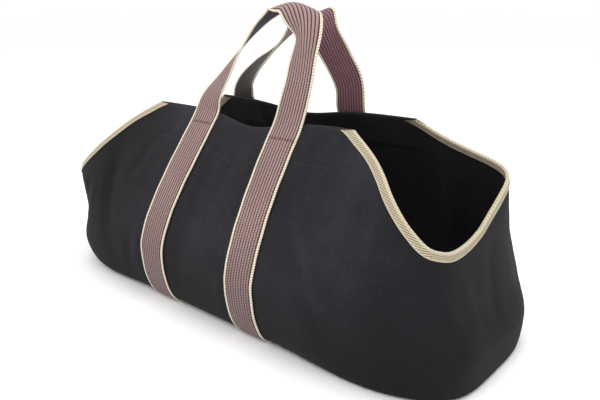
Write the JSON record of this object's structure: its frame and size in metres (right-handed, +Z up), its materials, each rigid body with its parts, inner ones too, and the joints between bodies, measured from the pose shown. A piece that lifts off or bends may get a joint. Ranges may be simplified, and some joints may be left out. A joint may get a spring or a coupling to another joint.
{
  "type": "canvas log carrier",
  "caption": "Open-topped canvas log carrier with rounded closed ends under bound U-shaped scoops, webbing straps sewn round the body and free webbing loop handles.",
  "frame": {"origin": "middle of the carrier's outline, on the floor that it rests on", "axes": "+Z up; X along the bag, the more open scoop at +X; the panel in front of the picture faces -Y"},
  "size_m": [0.6048, 0.2522, 0.3281],
  "materials": {
    "canvas": "near-black twill canvas, matt",
    "tape": "tan twill binding tape, matt",
    "webbing": "striped brown and rose webbing with cream selvedges, matt"
  },
  "bodies": {
    "root": {"canvas_body": "canvas", "end_binding_right": "tape", "end_binding_left": "tape", "body_strap_left": "webbing", "body_strap_right": "webbing", "handle_front": "webbing", "handle_rear": "webbing"}
  },
  "joints": []
}
